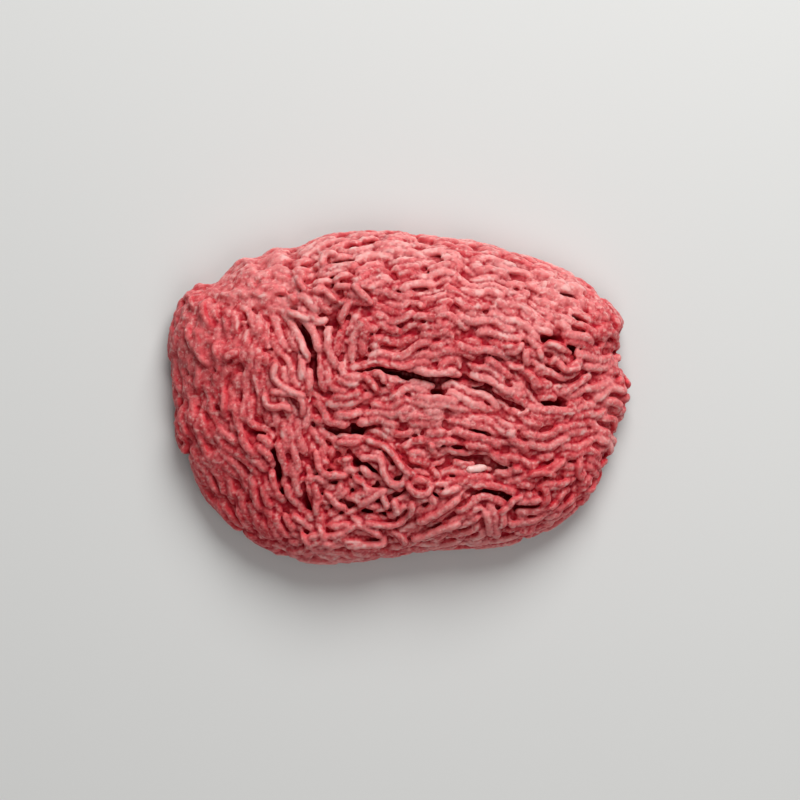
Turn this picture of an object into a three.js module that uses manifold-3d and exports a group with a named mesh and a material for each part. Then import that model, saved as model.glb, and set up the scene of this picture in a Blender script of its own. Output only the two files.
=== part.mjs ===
// A heap of raw minced beef that keeps the rounded block form of its pack. One solid: a lumpy core with
// a flat foot, the dark gaps between its folds cut in, and the strands that show fused on at true size.
import * as THREE from "three";
import { mergeVertices } from "three/addons/utils/BufferGeometryUtils.js";
import Module from "manifold-3d";

// Driving dimensions in millimetres. X runs along the heap, Y across it and Z up from its flat foot.
const LENGTH = 190;
const WIDTH = 137;
const HEIGHT = 38;
const STRAND = 3; // thickness of one strand
const BELLY = 9; // height at which the side bulges out furthest
const TUCK = 5; // how far the foot stands in from the bulge
const GAP_DEPTH = 9; // how far the gaps between the folds reach down
const STRAND_SPACING = 4.7; // between the middles of two strands that lie side by side
const STRAND_STEP = 9; // between two sections of one strand

// Shape numbers of the skin
const FLATNESS = 3; // power of the rim's curve: higher is flatter on top and steeper at the side
const CORE_DEPTH = 1.9; // of the core under the heap's outer skin
const STRAND_DEPTH = 1.7; // of a strand's middle under that skin
const END_DIP = 2.2; // extra depth of a strand's two ends, which sink into the core
const STRAND_STARTS = 400;
const STRAND_ROUNDS = [
  { longest: 60, shortest: 26 },
  { longest: 34, shortest: 14 },
];
const CORE_DETAIL = 8; // how finely the ball that becomes the core is divided
const CORE_FOOT_FROM = 2.3; // the angle down from that ball's top at which the flat foot starts

// Colour and finish of raw lean beef with its fat ground in
const MEAT = new THREE.Color().setRGB(0.74, 0.33, 0.32, THREE.SRGBColorSpace);
const MEAT_ROUGHNESS = 0.42;

// The outline from above, as shares of half the length and half the width
const OUTLINE = [
  [1.0, 0.04], [0.96, 0.2], [0.95, 0.34], [0.97, 0.45], [0.9, 0.58], [0.75, 0.74], [0.57, 0.84], [0.35, 0.93],
  [0.14, 0.97], [-0.06, 1.0], [-0.32, 0.97], [-0.44, 0.9], [-0.54, 0.89], [-0.6, 0.84], [-0.68, 0.83],
  [-0.76, 0.73], [-0.86, 0.66], [-0.93, 0.62], [-0.98, 0.44], [-0.99, 0.24], [-0.965, -0.01], [-0.97, -0.18],
  [-0.92, -0.37], [-0.8, -0.65], [-0.61, -0.87], [-0.4, -0.98], [-0.17, -0.98], [0.1, -0.92], [0.39, -0.89],
  [0.59, -0.83], [0.8, -0.62], [0.92, -0.33], [0.95, -0.18],
];

// Broad swellings and hollows of the top: place, reach and rise
const LOBES = [
  { x: -68, y: 5, reach: 28, rise: 2 },
  { x: 25, y: 30, reach: 42, rise: 2 },
  { x: -20, y: -36, reach: 20, rise: -4 },
  { x: -36, y: -18, reach: 12, rise: -2.5 },
  { x: 30, y: -50, reach: 16, rise: 2 },
];

// Edges where one fold lies over the next: the side to the right of the line drops, then climbs back
const FOLDS = [
  { line: [[-9, 12], [1, 11], [9, 9], [23, 7], [37, 4], [46, -1]], drop: 3.5, reach: 15 },
  { line: [[13, -19], [25, -22], [37, -24], [47, -29]], drop: 3, reach: 12 },
  { line: [[31, -36], [40, -37], [45, -42], [55, -44]], drop: 2.5, reach: 10 },
  { line: [[-35, 4], [-35, 21], [-38, 27]], drop: 3, reach: 11 },
  { line: [[-31, -10], [-22, -12], [-13, -11]], drop: 3, reach: 8 },
];

// Dark gaps between folds, seen from above
const GAPS = [
  { line: [[-40, 28], [-35, 21], [-34, 5]], width: 2.6 },
  { line: [[-35, 26], [-29, 28], [-23, 33]], width: 2.4 },
  { line: [[-8, 12], [1, 11], [9, 9], [23, 7], [37, 4]], width: 2.2 },
  { line: [[-50, -22], [-48, -27], [-49, -33]], width: 2.6 },
  { line: [[-27, -12], [-22, -14], [-15, -13]], width: 3.2 },
  { line: [[-12, -26], [-7, -33]], width: 2.6 },
  { line: [[15, -20], [25, -22], [37, -24]], width: 2.2 },
  { line: [[33, -36], [40, -37], [45, -42]], width: 2.4 },
  { line: [[-39, -46], [-30, -46]], width: 2.4 },
  { line: [[-17, -46], [-3, -47]], width: 2.6 },
  { line: [[58, 24], [67, 22]], width: 2 },
  { line: [[59, -2], [66, -2]], width: 2.4 },
  { line: [[-60, -14], [-51, -13]], width: 2.4 },
];

// The lie of the strands: lines that they run along, seen from above
const GRAIN = [
  // rows of the upper right, with their shared crests
  [[-40, 59], [-28, 64], [-14, 65], [1, 66], [17, 64], [33, 62]],
  [[33, 60], [49, 57], [66, 51], [80, 41], [88, 31]],
  [[-28, 47], [-16, 48], [1, 48], [10, 50], [19, 52], [29, 47], [41, 46], [54, 43]],
  [[-23, 35], [-16, 39], [-10, 39], [-3, 36], [5, 37], [19, 40], [27, 36], [45, 36], [54, 30]],
  [[-21, 26], [-20, 33], [-15, 36], [-10, 34], [-3, 29], [9, 34], [19, 35], [27, 31], [39, 31], [49, 24]],
  [[-10, 21], [-1, 22], [7, 24], [17, 26], [23, 22], [37, 20], [45, 18]],
  // right shoulder and the bowl below it
  [[49, 51], [62, 46], [74, 41], [84, 33]],
  [[54, 41], [64, 35], [76, 31], [87, 28]],
  [[58, 22], [66, 18], [78, 16], [89, 15]],
  [[49, 13], [56, 7], [66, 4], [78, 9], [90, 11]],
  [[37, 4], [49, -2], [60, -7], [72, -6], [84, -3], [93, -2]],
  [[41, -6], [51, -11], [62, -13], [72, -9], [82, -11], [89, -17]],
  // middle band, sloping down to the right
  [[-33, -3], [-22, -5], [-10, -1], [1, -1], [13, -2], [23, -5], [33, -8]],
  [[-12, -7], [1, -6], [13, -7], [27, -11], [41, -18], [54, -22]],
  [[-8, -12], [3, -16], [13, -14], [23, -15], [33, -19]],
  [[9, -26], [21, -24], [33, -25], [41, -29], [54, -30], [72, -26], [82, -26]],
  // lower right
  [[29, -36], [39, -35], [49, -37], [62, -38], [74, -33]],
  [[3, -58], [13, -53], [23, -46], [33, -40]],
  [[35, -41], [39, -49], [40, -57]],
  [[13, -63], [29, -61], [41, -58], [56, -55], [66, -49], [76, -41]],
  // loose middle
  [[-22, -47], [-10, -40], [1, -34]],
  [[-13, -16], [-5, -20], [1, -27], [5, -33]],
  [[-31, -21], [-34, -27], [-28, -31], [-18, -30], [-8, -34]],
  [[-28, -56], [-20, -52], [-10, -52], [-5, -58]],
  [[-40, -63], [-24, -63], [-8, -63], [7, -61]],
  // left lobe, running from back to front
  [[-59, 37], [-56, 24], [-56, 11], [-52, 0]],
  [[-46, 31], [-39, 20], [-36, 7], [-33, -3], [-31, -17]],
  [[-64, 24], [-62, 7], [-64, -5], [-64, -17]],
  [[-46, -2], [-40, -7], [-41, -17], [-38, -25], [-42, -37], [-36, -50]],
  [[-75, -1], [-73, -13], [-65, -21], [-56, -26], [-52, -37], [-50, -50]],
  [[-89, -17], [-84, -31], [-75, -44], [-64, -56], [-52, -61]],
  [[-93, 28], [-93, 11], [-91, -9]],
  [[-84, 38], [-86, 24], [-84, 5]],
  // upper left
  [[-89, 40], [-79, 45], [-68, 51], [-58, 55]],
  [[-60, 40], [-48, 41], [-39, 37], [-30, 32]],
  [[-40, 57], [-30, 57], [-20, 58], [-11, 60]],
];

const wasm = await Module();
wasm.setup();

// The outline as a radius for every direction from the middle
const outlineCurve = new THREE.CatmullRomCurve3(
  OUTLINE.map(([x, y]) => new THREE.Vector3((x * LENGTH) / 2, (y * WIDTH) / 2, 0)),
  true,
);
const outlinePoints = outlineCurve
  .getPoints(480)
  .map((p) => ({ angle: Math.atan2(p.y, p.x), radius: Math.hypot(p.x, p.y) }))
  .sort((a, b) => a.angle - b.angle);

function outlineRadius(angle) {
  const wrapped = Math.atan2(Math.sin(angle), Math.cos(angle));
  const next = outlinePoints.findIndex((p) => p.angle >= wrapped);
  const b = outlinePoints[next < 0 ? 0 : next];
  const a = outlinePoints[next <= 0 ? outlinePoints.length - 1 : next - 1];
  const span = THREE.MathUtils.euclideanModulo(b.angle - a.angle, 2 * Math.PI) || 1;
  const share = THREE.MathUtils.euclideanModulo(wrapped - a.angle, 2 * Math.PI) / span;
  return THREE.MathUtils.lerp(a.radius, b.radius, Math.min(share, 1));
}

// The side view, from the middle of the top over the bulge to the foot: out is a share of the outline's
// radius, up is in millimetres, and along is the way walked over the skin as a share of that radius.
const MEAN_RADIUS = (LENGTH + WIDTH) / 4;
const PROFILE = [];
for (let i = 0; i <= 90; i++) {
  const turn = (i * Math.PI) / 180;
  PROFILE.push({ out: Math.sin(turn) ** (2 / FLATNESS), up: BELLY + (HEIGHT - BELLY) * Math.cos(turn) });
}
for (let i = 10; i <= 90; i += 10) {
  const turn = (i * Math.PI) / 180;
  PROFILE.push({ out: 1 - (TUCK / MEAN_RADIUS) * (1 - Math.cos(turn)), up: BELLY * (1 - Math.sin(turn)) });
}
PROFILE.forEach((p, i) => {
  const before = PROFILE[i - 1];
  const way = before ? Math.hypot((p.out - before.out) * MEAN_RADIUS, p.up - before.up) : 0;
  p.along = before ? before.along + way / MEAN_RADIUS : 0;
});
const FOOT = PROFILE[PROFILE.length - 1].along;

// The profile where one of its values, out or along, has the value asked for
function profileAt(key, value) {
  const i = Math.max(1, PROFILE.findIndex((p) => p[key] >= value));
  const [a, b] = value >= FOOT ? [PROFILE.at(-1), PROFILE.at(-1)] : [PROFILE[i - 1], PROFILE[i]];
  const share = a === b ? 0 : (value - a[key]) / (b[key] - a[key]);
  return {
    out: THREE.MathUtils.lerp(a.out, b.out, share),
    up: THREE.MathUtils.lerp(a.up, b.up, share),
    along: THREE.MathUtils.lerp(a.along, b.along, share),
  };
}

// Nearest point of a line of points: its distance, its signed side, and how far the point lies past the ends
function nearLine(line, x, y) {
  let best = { distance: Infinity };
  for (let i = 1; i < line.length; i++) {
    const [ax, ay] = line[i - 1];
    const [dx, dy] = [line[i][0] - ax, line[i][1] - ay];
    const length = Math.hypot(dx, dy);
    const along = ((x - ax) * dx + (y - ay) * dy) / length;
    const side = ((x - ax) * dy - (y - ay) * dx) / length;
    const held = THREE.MathUtils.clamp(along, 0, length);
    const distance = Math.hypot(side, along - held);
    if (distance < best.distance) best = { distance, side, past: Math.abs(along - held) };
  }
  return best;
}

// How far the top stands above or below the plain dome
function relief(x, y) {
  let rise = 1.5 * Math.sin(x / 11 + y / 17 + 0.7) * Math.sin(y / 9 - x / 23 + 2.1);
  rise += 0.7 * Math.sin(x / 5.3 - y / 8.1 + 4) * Math.sin(y / 4.7 + x / 9.7);
  for (const lobe of LOBES) {
    rise += lobe.rise * Math.exp(-(((x - lobe.x) ** 2 + (y - lobe.y) ** 2) / lobe.reach ** 2));
  }
  for (const fold of FOLDS) {
    const near = nearLine(fold.line, x, y);
    if (near.side > 0) rise -= fold.drop * Math.exp(-near.distance / fold.reach - (near.past / 5) ** 2);
  }
  return rise;
}

// A place on the skin. The skin is rolled out flat for this: u and v are its millimetres from the middle.
function skin(u, v) {
  const angle = Math.atan2(v, u);
  const radius = outlineRadius(angle);
  const { out, up, along } = profileAt("along", Math.hypot(u, v) / radius);
  const [x, y] = [radius * out * Math.cos(angle), radius * out * Math.sin(angle)];
  const fade = THREE.MathUtils.smoothstep(FOOT - along, 0.12, 0.5);
  return new THREE.Vector3(x, y, up + fade * relief(x, y));
}

// A place at some depth under the skin, along its normal
function under(u, v, depth) {
  const step = 1;
  const across = skin(u + step, v).sub(skin(u - step, v));
  const back = skin(u, v + step).sub(skin(u, v - step));
  const normal = across.cross(back).normalize();
  return skin(u, v).addScaledVector(normal, -depth);
}

// From a place seen from above to its place on the rolled-out skin
function rollOut([x, y]) {
  const radius = outlineRadius(Math.atan2(y, x));
  const out = Math.hypot(x, y) / radius;
  const { along } = profileAt("out", Math.min(out, 1));
  return new THREE.Vector2(x, y).setLength(radius * along);
}

// Short marks along the grain lines, each with its place and heading
const MARK_STEP = 5;
const marks = GRAIN.flatMap((line) => {
  const flat = line.map(rollOut);
  return flat.slice(1).flatMap((end, i) => {
    const start = flat[i];
    const count = Math.max(1, Math.round(start.distanceTo(end) / MARK_STEP));
    const heading = end.clone().sub(start).angle();
    return Array.from({ length: count }, (_, k) => ({ at: start.clone().lerp(end, (k + 0.5) / count), heading }));
  });
});

// The heading of the strands at a place on the rolled-out skin
function heading(u, v) {
  let [c, s] = [0, 0];
  for (const mark of marks) {
    const weight = 1 / ((u - mark.at.x) ** 2 + (v - mark.at.y) ** 2 + 9) ** 2;
    c += weight * Math.cos(2 * mark.heading);
    s += weight * Math.sin(2 * mark.heading);
  }
  return Math.atan2(s, c) / 2;
}

// Whether a place is free for a strand: off the gaps, above the foot and clear of the strands already laid
const laid = [];
function isFree(place) {
  if (place.z < STRAND * 0.8) return false;
  for (const gap of GAPS) {
    const near = nearLine(gap.line, place.x, place.y);
    if (near.distance < (gap.width + STRAND) / 2 && place.z > BELLY) return false;
  }
  return laid.every((other) => other.distanceToSquared(place) > STRAND_SPACING ** 2);
}

// Walks along the grain one way from a start, for as long as the way is free
function walk(start, way, reach) {
  const stride = 2;
  const steps = [];
  let [at, last] = [start.clone(), null];
  for (let gone = 0; gone < reach; gone += stride) {
    const turn = heading(at.x, at.y);
    const step = new THREE.Vector2(Math.cos(turn), Math.sin(turn)).multiplyScalar(stride);
    if (last ? step.dot(last) < 0 : way < 0) step.negate();
    at = at.clone().add(step);
    last = step;
    if (!isFree(skin(at.x, at.y))) break;
    steps.push(at);
  }
  return steps;
}

// The places of one strand through a start, or nothing where there is no room for one
function strandLine(start, longest, shortest) {
  if (!isFree(skin(start.x, start.y))) return null;
  const flat = [...walk(start, -1, longest / 2).reverse(), start, ...walk(start, 1, longest / 2)];
  const places = flat.map((p) => skin(p.x, p.y));
  const length = places.slice(1).reduce((sum, p, i) => sum + p.distanceTo(places[i]), 0);
  if (length < shortest) return null;
  laid.push(...places);
  return flat;
}

// The middle line of a strand, half sunk in the core with its two ends dipping under
function strandPath(flat) {
  const last = flat.length - 1;
  const dip = (i) => STRAND_DEPTH + (i === 0 || i === last ? END_DIP : 0);
  return new THREE.CatmullRomCurve3(flat.map((p, i) => under(p.x, p.y, dip(i))));
}

// A rounded section with few sides
function strandSection() {
  const sides = 4;
  const points = Array.from({ length: sides }, (_, i) => {
    const turn = ((i + 0.5) * 2 * Math.PI) / sides;
    return new THREE.Vector2(Math.cos(turn), Math.sin(turn)).multiplyScalar((STRAND / 2) * 1.1);
  });
  return new THREE.Shape(points);
}

function strandGeometry(path) {
  const steps = Math.max(2, Math.round(path.getLength() / STRAND_STEP));
  return new THREE.ExtrudeGeometry(strandSection(), { steps, bevelEnabled: false, extrudePath: path });
}

// Starts for strands, spread evenly over the whole skin
function spreadStarts(count) {
  const golden = Math.PI * (3 - Math.sqrt(5));
  return Array.from({ length: count }, (_, k) => {
    const turn = k * golden;
    const radius = outlineRadius(turn) * FOOT * Math.sqrt((k + 0.5) / count);
    return new THREE.Vector2(Math.cos(turn), Math.sin(turn)).multiplyScalar(radius);
  });
}

// Starts on both sides of a strand, just far enough off for the next row
function startsBeside(flat) {
  return flat.flatMap((at) => {
    const turn = heading(at.x, at.y) + Math.PI / 2;
    const off = new THREE.Vector2(Math.cos(turn), Math.sin(turn)).multiplyScalar(STRAND_SPACING * 1.02);
    return [at.clone().add(off), at.clone().sub(off)];
  });
}

// Strands are laid row by row beside those that lie there, the long ones first
function strandGeometries() {
  const made = [];
  for (const { longest, shortest } of STRAND_ROUNDS) {
    for (const first of spreadStarts(STRAND_STARTS)) {
      const starts = [first];
      while (starts.length) {
        const flat = strandLine(starts.shift(), longest, shortest);
        if (!flat) continue;
        made.push(strandGeometry(strandPath(flat)));
        starts.push(...startsBeside(flat));
      }
    }
  }
  return made;
}

// The core: a ball pressed into the skin's own form, a little smaller and with a flat foot
function coreGeometry() {
  const ball = new THREE.IcosahedronGeometry(1, CORE_DETAIL);
  const points = ball.getAttribute("position");
  for (let i = 0; i < points.count; i++) {
    const p = new THREE.Vector3().fromBufferAttribute(points, i).normalize();
    const [down, turn] = [Math.acos(p.z), Math.atan2(p.y, p.x)];
    const radius = outlineRadius(turn);
    if (down < CORE_FOOT_FROM) {
      const walked = (FOOT * radius * down) / CORE_FOOT_FROM;
      p.copy(under(walked * Math.cos(turn), walked * Math.sin(turn), CORE_DEPTH));
    } else {
      const share = (Math.PI - down) / (Math.PI - CORE_FOOT_FROM);
      const reach = (radius * PROFILE.at(-1).out - CORE_DEPTH) * share;
      p.set(reach * Math.cos(turn), reach * Math.sin(turn), 0);
    }
    points.setXYZ(i, p.x, p.y, Math.max(0, p.z));
  }
  return ball;
}

// A gap between two folds: a lens-shaped slot that goes straight down
function gapGeometry({ line, width }) {
  const curve = new THREE.CatmullRomCurve3(line.map(([x, y]) => new THREE.Vector3(x, y, 0)));
  const points = curve.getSpacedPoints(4);
  const up = new THREE.Vector3(0, 0, 1);
  const edge = (way) =>
    points.map((p, i) => {
      const half = (width / 2) * Math.sin((Math.PI * (i + 0.35)) / (points.length - 0.3));
      const across = curve.getTangentAt(i / (points.length - 1)).cross(up).multiplyScalar(way * half);
      return new THREE.Vector2(p.x + across.x, p.y + across.y);
    });
  const shape = new THREE.Shape([...edge(1), ...edge(-1).reverse()]);
  const [x, y] = line[Math.floor(line.length / 2)];
  const flat = rollOut([x, y]);
  const bottom = skin(flat.x, flat.y).z - GAP_DEPTH;
  return new THREE.ExtrudeGeometry(shape, { depth: HEIGHT * 2, bevelEnabled: false }).translate(0, 0, bottom);
}

// A closed geometry as a solid, and back
function solidOf(geometry) {
  const bare = geometry.index ? geometry.toNonIndexed() : geometry.clone();
  for (const name of Object.keys(bare.attributes)) if (name !== "position") bare.deleteAttribute(name);
  const merged = mergeVertices(bare, 1e-3);
  const corners = merged.index.array;
  const kept = [];
  for (let i = 0; i < corners.length; i += 3) {
    const [a, b, c] = corners.slice(i, i + 3);
    if (a !== b && b !== c && a !== c) kept.push(a, b, c);
  }
  const vertProperties = merged.attributes.position.array;
  const solid = new wasm.Manifold(new wasm.Mesh({ numProp: 3, vertProperties, triVerts: new Uint32Array(kept) }));
  return solid.volume() < 0 ? flipped(vertProperties, kept) : solid;
}

function flipped(vertProperties, corners) {
  const triVerts = new Uint32Array(corners);
  for (let i = 0; i < triVerts.length; i += 3) [triVerts[i], triVerts[i + 1]] = [triVerts[i + 1], triVerts[i]];
  return new wasm.Manifold(new wasm.Mesh({ numProp: 3, vertProperties, triVerts }));
}

function geometryOf(solid) {
  const { numProp, vertProperties, triVerts } = solid.getMesh();
  const positions = new Float32Array((vertProperties.length / numProp) * 3);
  for (let i = 0; i < positions.length / 3; i++) {
    positions.set(vertProperties.subarray(i * numProp, i * numProp + 3), i * 3);
  }
  const geometry = new THREE.BufferGeometry();
  geometry.setAttribute("position", new THREE.BufferAttribute(positions, 3));
  geometry.setIndex(new THREE.BufferAttribute(triVerts, 1));
  geometry.computeVertexNormals();
  return geometry;
}

// The whole heap: core less gaps, plus strands. Hollows that the strands close off are filled.
function heapSolid() {
  let heap = solidOf(coreGeometry());
  for (const gap of GAPS) heap = heap.subtract(solidOf(gapGeometry(gap)));
  for (const strand of strandGeometries()) heap = heap.add(solidOf(strand));
  return heap.decompose().reduce((a, b) => (b.volume() > a.volume() ? b : a));
}

const heap = new THREE.Mesh(
  geometryOf(heapSolid()),
  new THREE.MeshStandardMaterial({ color: MEAT, roughness: MEAT_ROUGHNESS, metalness: 0 }),
);
heap.name = "minced_beef";
heap.geometry.computeBoundingBox();
const middle = heap.geometry.boundingBox.getCenter(new THREE.Vector3());
const size = heap.geometry.boundingBox.getSize(new THREE.Vector3());
heap.geometry.translate(-middle.x, -middle.y, 0);
heap.geometry.scale(LENGTH / size.x, WIDTH / size.y, 1);

const group = new THREE.Group();
group.add(heap);
export default group;
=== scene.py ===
"""A heap of raw minced beef that keeps the rounded block form of its pack.

Two layers of strands follow the lie of the meat over a core, with loose strands and short ends on top.
Strands and core are fused into one soft skin, which is split by strand into four pieces.
"""

import math
from itertools import product

import bmesh
import bpy
import numpy as np
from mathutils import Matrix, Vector, kdtree


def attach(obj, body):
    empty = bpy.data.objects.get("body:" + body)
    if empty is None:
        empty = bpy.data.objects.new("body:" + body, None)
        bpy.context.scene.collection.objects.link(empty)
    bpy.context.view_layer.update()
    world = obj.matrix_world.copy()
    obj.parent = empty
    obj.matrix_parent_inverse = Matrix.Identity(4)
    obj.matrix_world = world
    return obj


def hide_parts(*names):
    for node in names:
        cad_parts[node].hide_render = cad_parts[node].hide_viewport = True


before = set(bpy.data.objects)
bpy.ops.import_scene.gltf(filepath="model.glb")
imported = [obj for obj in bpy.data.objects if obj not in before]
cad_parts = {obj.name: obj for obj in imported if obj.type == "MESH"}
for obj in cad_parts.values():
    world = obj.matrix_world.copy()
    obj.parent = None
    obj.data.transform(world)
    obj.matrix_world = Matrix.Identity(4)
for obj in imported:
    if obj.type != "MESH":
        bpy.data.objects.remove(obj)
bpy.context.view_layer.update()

MM = 0.001
TINY = 1e-9

# Driving dimensions in millimetres, as in the solid. X runs along the heap, Y across it and Z up.
LENGTH = 190.0
WIDTH = 137.0
HEIGHT = 37.3
STRAND = 3.0
BELLY = 9.0
TUCK = 5.0
FLATNESS = 3.0

# Strands: spacing of rows and depth of their middles under the heap's outer skin
TOP_SPACING = 2.85
UNDER_SPACING = 3.1
UNDER_DEPTH = 2.95
CORE_DEPTH = 3.3
GAP_DEPTH = 7.0
LOWEST_MIDDLE = 1.45
FLATTENED = 0.13  # of the top rows, pressed wider and lower
# Least and greatest radius of the strands
UNDER_RADII = (1.35, 1.6)
TOP_RADII = (1.42, 1.68)
LOOSE_RADII = (1.4, 1.62)
SHOWN_RADII = (1.48, 1.68)
BITS_RADII = (0.8, 1.5)
# Height of the strands' middles over the skin: where nothing carries them, lowest and highest
TOP_FLOOR, TOP_LOW, TOP_HIGH = -2.4, -2.6, -1.3
LOOSE_LOW, LOOSE_HIGH = -2.6, 0.3
SHOWN_LOW, SHOWN_HIGH = -2.0, 0.6
BITS_FLOOR, BITS_LOW, BITS_HIGH = -2.0, -2.6, -0.5
FAT_LOW, FAT_HIGH = -1.6, -0.2
TOP_UNEVEN = 0.42
TOP_PRESSED = -1.6  # of top rows that are pressed into the others
# How far the ends of the top rows sink, and how often
END_DIPS = [0.3, 1.2, 1.9]
END_DIP_SHARES = [0.2, 0.4, 0.4]
# Beside a gap: how far it turns the rows along itself, and how far from it the core sinks
PULL = 0.85
PULL_REACH = 2.8
TRENCH_REACH = 1.1
# Softening of the fused skin: rounds everywhere, and rounds and share where it is pressed
SOFT_ROUNDS = 3
PRESSED_ROUNDS = 15
PRESSED_SHARE = 0.6
# Fineness of the meshes
SIDES = 9
FAT_SIDES = 16
FLOOR_HALF = 2.0  # in metres
SECTION_STEP = 0.9
GRAIN_SIZE = 0.47  # between the fused skin's points
CROWN_STEPS = 91  # of the profile table, from the top's middle to the belly
FOOT_LEVEL = 0.12  # below which the underside's faces are drawn together
FOOT_CELL = 4  # the size of the faces that this leaves

# Random draws: one seed for each layer or noise
UNDER_SEED, TOP_SEED, LOOSE_SEED, SHOWN_SEED, BITS_SEED = 11, 41, 71, 75, 81
CORE_SEED, TUBE_SEED, FAT_TUBE_SEED, MARK_SEED, ROUGH_SEED = 91, 101, 141, 151, 161

# The outline from above, as shares of half the length and half the width
OUTLINE = [
    (1.0, 0.04), (0.96, 0.2), (0.95, 0.34), (0.97, 0.45), (0.9, 0.58), (0.75, 0.74), (0.57, 0.84),
    (0.35, 0.93), (0.14, 0.97), (-0.06, 1.0), (-0.32, 0.97), (-0.44, 0.9), (-0.54, 0.89), (-0.6, 0.84),
    (-0.68, 0.83), (-0.76, 0.73), (-0.86, 0.66), (-0.93, 0.62), (-0.98, 0.44), (-0.99, 0.24),
    (-0.965, -0.01), (-0.97, -0.18), (-0.92, -0.37), (-0.8, -0.65), (-0.61, -0.87), (-0.4, -0.98),
    (-0.17, -0.98), (0.1, -0.92), (0.39, -0.89), (0.59, -0.83), (0.8, -0.62), (0.92, -0.33), (0.95, -0.18),
]

# Broad swellings and hollows of the top: x, y, reach, rise
LOBES = [
    (-68, 5, 28, 2.0),
    (25, 30, 42, 2.0),
    (-20, -36, 20, -4.0),
    (-36, -18, 12, -2.5),
    (30, -50, 16, 2.0),
    (-96, 2, 24, -5.0),
    (-78, -48, 22, -4.0),
    (92, -7, 24, -4.0),
]

# Edges where one fold lies over the next: line, drop on its right side, reach of the drop
FOLDS = [
    ([(-9, 12), (1, 11), (9, 9), (23, 7), (37, 4), (46, -1)], 3.5, 15),
    ([(13, -19), (25, -22), (37, -24), (47, -29)], 3.0, 12),
    ([(31, -36), (40, -37), (45, -42), (55, -44)], 2.5, 10),
    ([(-35, 4), (-35, 21), (-38, 27)], 3.0, 11),
    ([(-31, -10), (-22, -12), (-13, -11)], 3.0, 8),
]

# Ripples that the rows run over: line, rise, reach
RIPPLES = [
    ([(-16, 60), (-15, 38), (-13, 26)], 1.3, 4.5),
    ([(-3, 40), (-3, 22)], -0.9, 4),
    ([(17, 62), (19, 38), (18, 24)], 1.3, 4.5),
    ([(27, 50), (27, 26)], -0.9, 4),
    ([(41, 48), (41, 20)], 0.8, 5),
    ([(-58, 30), (-56, 4)], 0.9, 5),
    ([(-46, 30), (-45, 0)], -0.9, 4),
]

# Dark gaps between folds: line, width
GAPS = [
    ([(-39, 28), (-36.5, 24.5), (-35.2, 20.5)], 3.1),
    ([(-35.2, 20.5), (-34.2, 16), (-33.8, 9)], 2.1),
    ([(-30, 28.5), (-26, 31)], 1.4),
    ([(-8, 12), (-4, 11.4), (0, 10.2)], 3.0),
    ([(0, 10.2), (6, 9), (11, 7.8)], 2.1),
    ([(13, 7.6), (22, 7.4), (30, 6.8)], 1.8),
    ([(30, 6.8), (36, 5.2)], 2.5),
    ([(14.5, 2.7), (16.5, 2.6)], 2.4),
    ([(60, -2.3), (66.5, -2.7)], 2.2),
    ([(59, 24.5), (64.6, 23.8)], 1.8),
    ([(70.3, 20.6), (72.3, 19.6)], 2.1),
    ([(-27, -13), (-20, -13.6)], 1.5),
    ([(-17.5, -13.2), (-15.4, -12.8)], 2.5),
    ([(-49.8, -23), (-48.2, -27), (-48.4, -32.5)], 2.6),
    ([(-46.3, -38.5), (-45.5, -41)], 1.9),
    ([(-12.4, -26.6), (-10.8, -29)], 2.8),
    ([(-17.6, -25), (-16.8, -25.6)], 1.8),
    ([(14.6, -38.3), (15.8, -39.8)], 2.2),
    ([(22, -35.6), (26, -34.6)], 1.8),
    ([(17, -19.2), (26, -21), (34, -22)], 2.2),
    ([(36, -37), (40, -38), (44.6, -41)], 2.3),
    ([(31.6, -13.4), (33, -13.8)], 1.9),
    ([(67.8, 42.3), (71, 42)], 2.3),
    ([(72, 33), (74, 32)], 1.9),
    ([(-58.4, -13.5), (-54.6, -13.5)], 1.5),
    ([(-37, -41), (-35, -46)], 1.6),
    ([(-15.4, -46), (-5.9, -47.5)], 1.6),
    ([(-29, 55), (-20, 56)], 1.4),
    ([(-45, 54), (-41, 50)], 1.3),
    ([(48, -44), (54, -44)], 1.5),
]

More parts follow.
